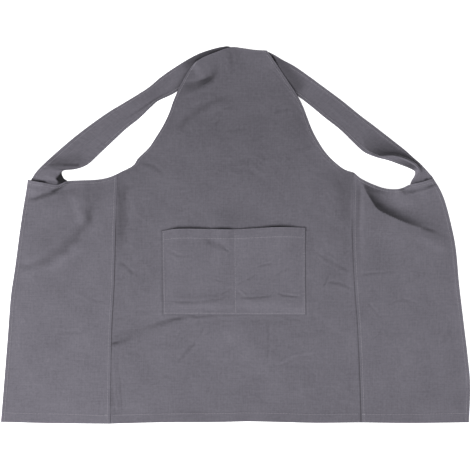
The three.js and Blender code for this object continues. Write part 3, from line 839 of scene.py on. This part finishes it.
def stitches(name, lines, seed):
    """Short thread lengths laid end to end along the lines."""
    random = np.random.default_rng(seed)
    shifts, widths = (np.array(column)[None, :, None, None] for column in zip(*STITCH_RINGS))
    turns = np.linspace(0.0, 2 * math.pi, STITCH_SIDES, endpoint=False)[None, None, :, None]
    ring = np.arange(len(STITCH_RINGS) * STITCH_SIDES).reshape(-1, STITCH_SIDES)
    around = np.roll(ring, -1, axis=1)
    template = np.stack([ring[:-1], around[:-1], around[1:], ring[1:]], axis=-1).reshape(-1, 4)
    caps = np.concatenate([ring[:1, ::-1], ring[-1:]])
    spots = []
    for line in lines:
        reach = reach_along(line)
        centres = np.arange(STITCH_PITCH, reach[-1] - STITCH_PITCH, STITCH_PITCH)
        sunk = noise_along(centres, seed, *SUNK_NOISE) + random.normal(0.0, STITCH_UNEVEN, len(centres))
        middle, ahead = read_off(line, reach, centres), read_off(line, reach, centres + 1.0)
        run = ahead - middle + random.normal(0.0, STITCH_SWAY, middle.shape)
        run /= np.linalg.norm(run, axis=1, keepdims=True)
        side = np.cross((0, 0, 1), run)
        side /= np.linalg.norm(side, axis=1, keepdims=True)
        rise = np.cross(run, side)
        place, run, side, rise = (part[:, None, None, :] for part in (middle, run, side, rise))
        round_it = (side * np.cos(turns) + rise * np.sin(turns)) * (widths * STITCH_RADIUS)
        raised = (STITCH_RAISED - sunk)[:, None, None, None] * rise
        spots.append((place + run * (shifts * STITCH_LENGTH) + raised + round_it).reshape(-1, 3))
    points = np.vstack(spots)
    bases = np.arange(0, len(points), ring.size)[:, None, None]
    faces = (bases + template).reshape(-1, 4).tolist() + (bases + caps).reshape(-1, STITCH_SIDES).tolist()
    return add_mesh(name, points, faces)


def hem_step(distance, width=HEM_WIDTH):
    """Added thickness of a hem, with a dip along its stitching."""
    raised = HEM_STEP * (1 - smooth(width - HEM_STEP_IN, width + HEM_STEP_OUT, distance))
    return raised - near(distance - width + HEM_DIP_IN, *HEM_DIP)


def pucker(distance, run, seed):
    """Small ripples beside a line of stitching."""
    return near(distance, noise_along(run, seed, *PUCKER_NOISE), PUCKER_RUN)


def seam_darkness(x, y):
    """Strength of the painted shadow along the seams: strong below the chest, fading near the hem on the left
    and growing there on the right.
    """
    low = smooth(*SEAM_LOW, y)
    seam_shade_share = np.where(x < 0, 1 - LEFT_SEAM_SHADE_FADE * low, RIGHT_SEAM_SHADE_BASE + RIGHT_SEAM_SHADE_RISE * low)
    return SEAM_SHADE_LEAST + SEAM_SHADE_GAIN * (1 - smooth(*CHEST, y)) * seam_shade_share


def finer_at_mouth(rows, left):
    """Rows of the front panel with closer ones along the pocket's mouth."""
    reach = reach_along(left)
    low, high = np.interp(MOUTH_BAND, left[:, 1], reach / reach[-1])
    return np.concatenate([rows[rows < low], np.linspace(low, high, MOUTH_ROWS), rows[rows > high]])


def front_darkness(x, y, seam, free):
    """Painted shade of the front panel along its seams, above the pocket's mouth and beside its left side, in
    creases and soft patches, all over and towards the hem, with lighter free edges.
    """
    # Painted shadow on the front panel just above the pocket's mouth, stronger where the mouth stands open
    above_mouth = np.where(y > MOUTH_FOOT, distance_to(x, y, POCKET_MOUTH), np.inf)
    mouth = near(above_mouth, mouth_opening(x) / MOUTH_WIDEST, MOUTH_WIDTH)
    dark = near(seam, *SEAM_SHADE) * seam_darkness(x, y) + MOUTH_SHADE * mouth + near(free, *EDGE_LIGHTENING)
    dark = dark + creased(FRONT_CREASES, x, y, CREASE_SEED)[1] * smooth(*SEAM_SHOWN, seam)
    dark = dark + FRONT_PAINTED_SHADE + near(y - BIB_MIDDLE, *BIB_PAINTED_SHADE)
    dark = dark + HEM_DARKENING * smooth(*HEM_DARKENING_RUN, y) + painted_patch_shade(x, y)
    return dark + near(distance_to(x, y, POCKET_LEFT), *POCKET_SIDE_SHADE)


def front_panel():
    left_seam = spline([(x - SEAM_MARGIN, y) for x, y in LEFT_SEAM[:-1]] + [LEFT_SEAM[-1]])
    right_seam = spline([(x + SEAM_MARGIN, y) for x, y in RIGHT_SEAM[:-1]] + [RIGHT_SEAM[-1]])
    left = np.vstack([left_seam[:-1], spline(LEFT_ARMHOLE)])
    right = np.vstack([right_seam[:-1], spline(RIGHT_ARMHOLE)])
    hem = spline([left_seam[0], *FRONT_HEM[1:-1], right_seam[0]])
    length = length_of(left)
    rows = finer_at_mouth(edge_shares(length, int(length / FRONT_ROW_STEP), HEM_STEPS), left)
    flat, x, y = patch(left, right, hem, spline(BIB_TOP), rows, FRONT_COLUMNS)
    arm, seam = distance_to(x, y, LEFT_ARMHOLE, RIGHT_ARMHOLE), from_seam(x, y)
    bottom, top = distance_to(x, y, FRONT_HEM), distance_to(x, y, BIB_TOP)
    shown = smooth(*SEAM_SHOWN, seam)
    ripple = pucker(np.abs(arm - HEM_STITCH), y + x, PUCKER_SEED)
    ripple = ripple + HEM_PUCKER * pucker(bottom, x, PUCKER_SEED + 1)
    grid = np.dstack([x, y, front_height(x, y) + ripple * shown])
    free = np.min([arm, bottom, top], axis=0)
    hem_up = np.maximum(hem_step(arm), hem_step(bottom, BOTTOM_HEM)) * shown
    hem_up = np.maximum(hem_up, BIB_TOP_STEP * (1 - smooth(*BIB_TOP_EDGE, top)))
    piece, upper = cloth_piece("apron_front", grid, free, hem_up, flat, front_darkness(x, y, seam, free))
    last_column = upper.shape[1] - 1
    arm_span = (length_of(left_seam) / length + ARMHOLE_GAP, ARMHOLE_END)
    lines = [
        up_line(upper, step_at(HEM_STITCH), *arm_span),
        up_line(upper, last_column - step_at(HEM_STITCH), *arm_span),
        across_line(upper, step_at(BOTTOM_HEM - STITCH_IN, HEM_STEPS), *FRONT_HEM_SPAN),
    ]
    return piece, stitches("apron_front_thread", lines, THREAD_SEED)


def back_lines(upper, hem_depth, seam_is_left):
    """Stitching of a back panel, with a short tack where its hem meets the seam."""
    last_row, last_column = upper.shape[0] - 1, upper.shape[1] - 1
    seam_column, outer_column = step_at(TOPSTITCH), last_column - step_at(HEM_STITCH)
    tack = step_at(TACK) / last_column
    if not seam_is_left:
        seam_column, outer_column = last_column - seam_column, last_column - outer_column
        tack = 1 - tack[::-1]
    hem_row = step_at(hem_depth[step_at(BOTTOM_HEM, HEM_STEPS).astype(int)] - STITCH_IN, HEM_STEPS)
    return [
        up_line(upper, seam_column, *SEAM_SPAN),
        up_line(upper, outer_column, *SEAM_SPAN),
        across_line(upper, last_row - step_at(HEM_STITCH, HEM_STEPS), *FULL_SPAN),
        across_line(upper, hem_row, *FULL_SPAN),
        across_line(upper, hem_row - 1, *tack),
        across_line(upper, hem_row + 1, *tack),
    ]


def back_panel(name, sides, folds, creases, lifts, laps, seam_is_left, seed, drape=None):
    left, right, bottom, top = (spline(corners) for corners in sides)
    seam_side, outer_side = sides[:2] if seam_is_left else sides[1::-1]
    length = length_of(left)
    rows = edge_shares(length, int(length / BACK_ROW_STEP), HEM_STEPS)
    flat, x, y = patch(left, right, bottom, top, rows, BACK_COLUMNS)
    outer, seam, hem, arm = (distance_to(x, y, side) for side in (outer_side, seam_side, *sides[2:]))
    lapped = np.max([lap_share(lap, x, y) for lap in laps], axis=0)
    over_seam = np.maximum(lapped, lap_share(laps[0], x, y, SEAM_RUN))
    lift = slack(x, y)
    relief, shade = creased(creases, x, y, seed)
    relief = folded(folds, x, y) + relief + crumple(x, y, seed + 3) * smooth(*CRUMPLE_FROM, lift)
    if drape:
        drape_relief, drape_shade = drape_form(drape, x, y)
        relief, shade = relief + drape_relief, shade + drape_shade
    ripple = pucker(np.abs(arm - HEM_STITCH), x, seed + 6)
    ripple = ripple + OUTER_PUCKER * pucker(np.abs(outer - HEM_STITCH), y, seed + 7)
    relief = np.maximum(lift + (relief + ripple) * (1 - lapped), 0.0)
    tight = SEAM_PUCKER * np.abs(pucker(np.abs(seam - TOPSTITCH), y, seed + 8))
    height = FLOOR + LAYER * over_seam + relief + folded(lifts, x, y) + tight
    hem_depth = BOTTOM_HEM + BACK_HEM_GAIN * smooth(*BACK_HEM_RUN, seam)
    hems = (hem_step(outer), hem_step(arm), hem_step(hem, hem_depth), LAP_STEP * hem_step(seam))
    free = np.min([outer, hem, arm], axis=0)
    # Painted shadow along the lap, lighter free edges, painted shade of creases and drape, and painted
    # patches
    dark = near(seam, *LAP_SHADE) * seam_darkness(x, y) + near(free, *EDGE_LIGHTENING) + shade + painted_patch_shade(x, y)
    grid, edge = np.dstack([x, y, height]), np.minimum(free, seam)
    piece, upper = cloth_piece(name, grid, edge, np.max(hems, axis=0), flat, dark)
    return piece, stitches(name + "_thread", back_lines(upper, hem_depth, seam_is_left), seed + 9)


def section_height(shares, knots, heights):
    """Heights across a section, partly eased between its knots."""
    result = np.interp(shares, knots, heights)
    for low, high, start, end in zip(knots[:-1], knots[1:], heights[:-1], heights[1:]):
        eased = start + (end - start) * smooth(low, high, shares)
        mixed = STRAP_STRAIGHT * result + STRAP_EASED * eased
        result = np.where((shares >= low) & (shares <= high), mixed, result)
    return result


def strap_profile(sections, shares, past):
    """Height and painted shade across each section of a strap."""
    height, dark = [], []
    for section in sections:
        crease = section[4]
        knots = (0.0, crease * STRAP_CROWN, crease, crease + (1 - crease) * STRAP_RIDGE, 1.0)
        height.append(section_height(shares, knots, section[5:10]))
        over = smooth(crease, crease + STRAP_DARK_END, shares)
        beyond = smooth(crease + past[0], crease + past[1], shares)
        rising = smooth(STRAP_DARK_START * crease, crease, shares)
        dark.append(section[10] * rising * (1 - over) + section[11] * beyond)
    return np.maximum(np.array(height), FLOOR), np.array(dark)


# Painted shadow along short lines, the darkest row at each point
def gap_shade(rows, x, y):
    shade = np.zeros_like(x)
    for row in rows:
        distance = nearest(np.array(row[:4], float).reshape(2, 2), x, y)[0]
        shade = np.maximum(shade, near(distance, row[5], row[4]))
    return shade


def strap(name, table, gaps, outer_is_left, end_run, past, inner_from, seed):
    track = spline(table, STRAP_SAMPLES)
    reach = reach_along((track[:, 0:2] + track[:, 2:4]) / 2)
    stations = np.linspace(0.0, reach[-1], int(reach[-1] / STRAP_STEP))
    sections = read_off(track, reach, stations)
    row_share = np.interp(stations, reach, np.linspace(0, 1, len(reach)))[:, None]
    shares = edge_shares(STRAP_WIDTH, STRAP_LANES)
    height, folded_dark = strap_profile(sections, shares, past)
    place = sections[:, None, 0:2] * (1 - shares[:, None]) + sections[:, None, 2:4] * shares[:, None]
    x, y = place[..., 0], place[..., 1]
    edge = np.minimum(shares, 1 - shares) * STRAP_WIDTH * np.ones_like(x)
    weave = np.dstack([shares * STRAP_WIDTH * np.ones_like(x), stations[:, None] * np.ones_like(x)])
    shown = smooth(*STRAP_SHOWN, row_share) * (1 - smooth(*STRAP_HIDDEN, row_share))
    ripple = pucker(np.abs(edge - HEM_STITCH), weave[..., 1], seed + 1)
    ripple = STRAP_CRUMPLE * crumple(x, y, seed) + ripple
    height = np.maximum(height + (STRAP_LIFT + ripple) * shown, FLOOR)
    sewn = (1 - smooth(BIB_SEWN, end_run, distance_to(x, y, BIB_TOP))) * smooth(*STRAP_SEWN, row_share)
    height = height * (1 - sewn) + (front_height(x, y) - LAYER - LAYER_GAP) * sewn
    grid = np.dstack([x, y, height])
    beside = near(distance_to(x, y, LEFT_ARMHOLE, RIGHT_ARMHOLE), *BESIDE_BIB_SHADE)
    # Painted shade of the strap's folds, beside the bib and along the given lines, with lighter edges
    dark = near(edge, *EDGE_LIGHTENING) + folded_dark + beside + gap_shade(gaps, x, y)
    if not outer_is_left:
        grid, weave, edge, dark = (part[:, ::-1] for part in (grid, weave, edge, dark))
    piece, upper = cloth_piece(name, grid, edge, hem_step(edge), weave, dark)
    inner, outer = step_at(HEM_STITCH), upper.shape[1] - 1 - step_at(HEM_STITCH)
    if outer_is_left:
        inner, outer = outer, inner
    lines = [up_line(upper, outer, *STRAP_SPAN), up_line(upper, inner, inner_from, STRAP_SPAN[1])]
    return piece, stitches(name + "_thread", lines, seed + 2)


def pocket():
    left, right = spline(POCKET_LEFT), spline(POCKET_RIGHT)
    tall = length_of(left)
    rows = edge_shares(tall, int(tall / POCKET_ROW_STEP), MOUTH_STEPS)
    flat, x, y = patch(left, right, spline(POCKET_BOTTOM), spline(POCKET_MOUTH), rows, POCKET_COLUMNS)
    foot, mouth = distance_to(x, y, POCKET_BOTTOM), distance_to(x, y, POCKET_MOUTH)
    sewn = np.minimum(foot, distance_to(x, y, POCKET_LEFT, POCKET_RIGHT))
    held = np.minimum(sewn, np.abs(x - POCKET_CENTRE) + CENTRE_HELD)
    loose = smooth(*RELIEF_RUN, held)
    open_by = mouth_opening(x) * smooth(*GAPE_RUN, 1 - mouth / tall)
    relief, shade = creased(POCKET_CREASES, x, y, POCKET_SEED + 2)
    relief = relief + POCKET_CRUMPLE * crumple(x, y, POCKET_SEED)
    raised = open_by + POCKET_PUFF * smooth(*PUFF_RUN, held) + relief * loose
    tight = SEAM_PUCKER * np.abs(pucker(np.abs(sewn - POCKET_STITCH), x + y, POCKET_SEED + 5))
    raised = np.maximum(raised, -POCKET_SUNK) + tight
    grid = np.dstack([x, y, FLOOR + slack(x, y) + LAYER + raised])
    hem_up = hem_step(mouth, POCKET_HEM) + TURNING * (1 - smooth(*TURNING_EDGE, sewn))
    # Painted shade along the sewn edges and in creases; the mouth edge and the foot lighter
    dark = near(sewn, *POCKET_EDGE_SHADE) + near(mouth, *EDGE_LIGHTENING) + shade * loose
    dark = dark - POCKET_LIGHT * (1 - smooth(*POCKET_LIGHT_RUN, foot))
    piece, upper = cloth_piece("apron_pocket", grid, np.minimum(sewn, mouth), hem_up, flat, dark)
    last_row, last_column = upper.shape[0] - 1, upper.shape[1] - 1
    lines = [
        up_line(upper, step_at(POCKET_STITCH)),
        up_line(upper, last_column - step_at(POCKET_STITCH)),
        across_line(upper, step_at(POCKET_STITCH), *FULL_SPAN),
        across_line(upper, last_row - step_at(POCKET_HEM - STITCH_IN, MOUTH_STEPS), *FULL_SPAN),
        up_line(upper, last_column * CENTRE_COLUMN, *FULL_SPAN) - (0.0, 0.0, CENTRE_SUNK),
    ]
    return piece, stitches("apron_pocket_thread", lines, POCKET_SEED + 6)


class Nodes:
    """Short calls for building a material's node tree."""

    def __init__(self, name, surface):
        self.material = bpy.data.materials.new(name)
        self.material.use_nodes = True
        self.tree = self.material.node_tree
        self.link = self.tree.links.new
        self.shader = self.tree.nodes["Principled BSDF"]
        self.set_inputs(self.shader, surface)

    def set_inputs(self, node, settings):
        for socket, value in settings.items():
            node.inputs[socket].default_value = value

    def add(self, kind, **settings):
        node = self.tree.nodes.new(kind)
        for key, value in settings.items():
            setattr(node, key, value)
        return node

    def math(self, operation, first, second):
        node = self.add("ShaderNodeMath", operation=operation)
        for socket, value in zip(node.inputs, (first, second)):
            if isinstance(value, (int, float)):
                socket.default_value = value
            else:
                self.link(value, socket)
        return node.outputs[0]

    def noise_at(self, place, across, upward, detail):
        scaled = self.add("ShaderNodeVectorMath", operation="MULTIPLY")
        self.link(place, scaled.inputs[0])
        scaled.inputs[1].default_value = (across, upward, 1.0)
        texture = self.add("ShaderNodeTexNoise")
        self.set_inputs(texture, {"Scale": 1.0, "Detail": detail})
        self.link(scaled.outputs[0], texture.inputs["Vector"])
        return self.math("SUBTRACT", texture.outputs[0], 0.5)

    def wave(self, place):
        return self.math("SINE", self.math("MULTIPLY", place, 2 * math.pi / WEAVE_PITCH), 0.0)


def canvas_material():
    """Plain-weave canvas: uneven yarns, soft wear, and painted shade and light from the shade attribute."""
    nodes = Nodes("canvas", CANVAS_SURFACE)
    place = nodes.add("ShaderNodeAttribute", attribute_name="weave_at").outputs["Vector"]
    shade = nodes.add("ShaderNodeAttribute", attribute_name="shade").outputs["Fac"]
    warp, weft, grain, wear = (nodes.noise_at(place, *row) for row in CANVAS_NOISE)
    yarns = nodes.math("ADD", warp, weft)
    woven, grained = nodes.math("MULTIPLY", yarns, YARN_MIX), nodes.math("MULTIPLY", grain, GRAIN_MIX)
    mixed = nodes.math("ADD", nodes.math("ADD", woven, grained), nodes.math("MULTIPLY", wear, WEAR_MIX))
    colour = nodes.add("ShaderNodeMix", data_type="RGBA")
    nodes.set_inputs(colour, {6: CANVAS_DARK, 7: CANVAS_LIGHT})
    nodes.link(nodes.math("ADD", mixed, 0.5), colour.inputs[0])
    # The shade attribute darkens the base colour as painted shade, and lightens it as painted light where
    # negative
    kept = nodes.math("SUBTRACT", 1.0, nodes.math("MULTIPLY", shade, SHADE_MIX))
    shaded = nodes.add("ShaderNodeVectorMath", operation="SCALE")
    nodes.link(colour.outputs[2], shaded.inputs[0])
    nodes.link(kept, shaded.inputs["Scale"])
    nodes.link(shaded.outputs[0], nodes.shader.inputs["Base Color"])
    split = nodes.add("ShaderNodeSeparateXYZ")
    nodes.link(place, split.inputs[0])
    weave = nodes.math("MULTIPLY", nodes.wave(split.outputs[0]), nodes.wave(split.outputs[1]))
    weave = nodes.math("MULTIPLY", weave, WEAVE_RELIEF)
    bump = nodes.add("ShaderNodeBump")
    nodes.set_inputs(bump, BUMP)
    nodes.link(nodes.math("ADD", weave, nodes.math("ADD", yarns, grain)), bump.inputs["Height"])
    nodes.link(bump.outputs[0], nodes.shader.inputs["Normal"])
    return nodes.material


def floor():
    corners = np.array([(-1, -1, -1), (1, -1, -1), (1, 1, -1), (-1, 1, -1)])
    ground = add_mesh("floor", corners * (FLOOR_HALF, FLOOR_HALF, FLOOR_DROP), [(0, 1, 2, 3)])
    ground.data.materials.append(Nodes("pale_floor", FLOOR_SURFACE).material)


def add_light(name, kind, energy, place):
    """Adds a light aimed at the middle of the apron."""
    light = bpy.data.lights.new(name, kind)
    light.energy = energy
    lamp = add_object(name, light)
    lamp.location = place
    lamp.rotation_euler = (-Vector(place)).to_track_quat("-Z", "Y").to_euler()
    return light


def lights():
    world = bpy.data.worlds.new("studio")
    world.use_nodes = True
    sky = world.node_tree.nodes["Background"].inputs
    sky["Color"].default_value = WHITE
    sky["Strength"].default_value = WORLD_STRENGTH
    bpy.context.scene.world = world
    key = add_light("key", "SUN", KEY_ENERGY, KEY_PLACE)
    key.angle = math.radians(KEY_SPREAD)
    fill = add_light("fill", "AREA", FILL_ENERGY, FILL_PLACE)
    fill.shape = "DISK"
    fill.size = FILL_SIZE
    bpy.context.scene.view_settings.view_transform = "Standard"


def camera():
    lens = bpy.data.cameras.new("camera")
    lens.sensor_width = SENSOR
    lens.lens = SENSOR * CAMERA_HEIGHT / (VIEW_WIDTH * MM)
    eye = add_object("camera", lens)
    eye.location = (VIEW_CENTRE[0] * MM, VIEW_CENTRE[1] * MM, CAMERA_HEIGHT)
    bpy.context.scene.camera = eye


def dress(piece, thread, node, flat, rests_on, area):
    """Gives a piece its cloth and thread, attaches both to the root and hides the CAD part it stands for."""
    piece.data.materials.append(CANVAS)
    thread.data.materials.append(THREAD)
    for item in (piece, thread):
        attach(item, "root")
    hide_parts(node)


CANVAS = canvas_material()
THREAD = Nodes("thread", THREAD_SURFACE).material

dress(*front_panel(), "front_panel", (0.62, 0.9), ["floor", "strap_left", "strap_right"], 0.43)
dress(
    *back_panel(
        "apron_back_left", (LEFT_OUTER, LEFT_SEAM, LEFT_HEM, LEFT_TOP), LEFT_FOLDS, LEFT_CREASES,
        LEFT_EDGE_LIFTS, (LEFT_SEAM, LEFT_STRAP_SEAM), False, 71,
    ),
    "back_panel_left", (0.28, 0.61), ["floor", "front_panel"], 0.139,
)
dress(
    *back_panel(
        "apron_back_right", (RIGHT_SEAM, RIGHT_OUTER, RIGHT_HEM, RIGHT_TOP), RIGHT_FOLDS, RIGHT_CREASES,
        RIGHT_EDGE_LIFTS, (RIGHT_SEAM, RIGHT_STRAP_SEAM), True, 91, DRAPE_SECTIONS,
    ),
    "back_panel_right", (0.28, 0.61), ["floor", "front_panel"], 0.139,
)
dress(
    *strap(
        "apron_strap_left", STRAP_LEFT_SECTIONS, LEFT_STRAP_SHADOWS, True, LEFT_DRAWN_UP, (0.0, 0.06), 0.3, 111,
    ),
    "strap_left", (0.066, 0.69), ["floor"], 0.04,
)
dress(
    *strap(
        "apron_strap_right", STRAP_RIGHT_SECTIONS, RIGHT_STRAP_SHADOWS, False, RIGHT_DRAWN_UP, (0.08, 0.2),
        0.08, 131,
    ),
    "strap_right", (0.066, 0.69), ["floor", "strap_left"], 0.04,
)
dress(*pocket(), "pocket", (0.34, 0.23), ["front_panel"], 0.07)

floor()
lights()
camera()
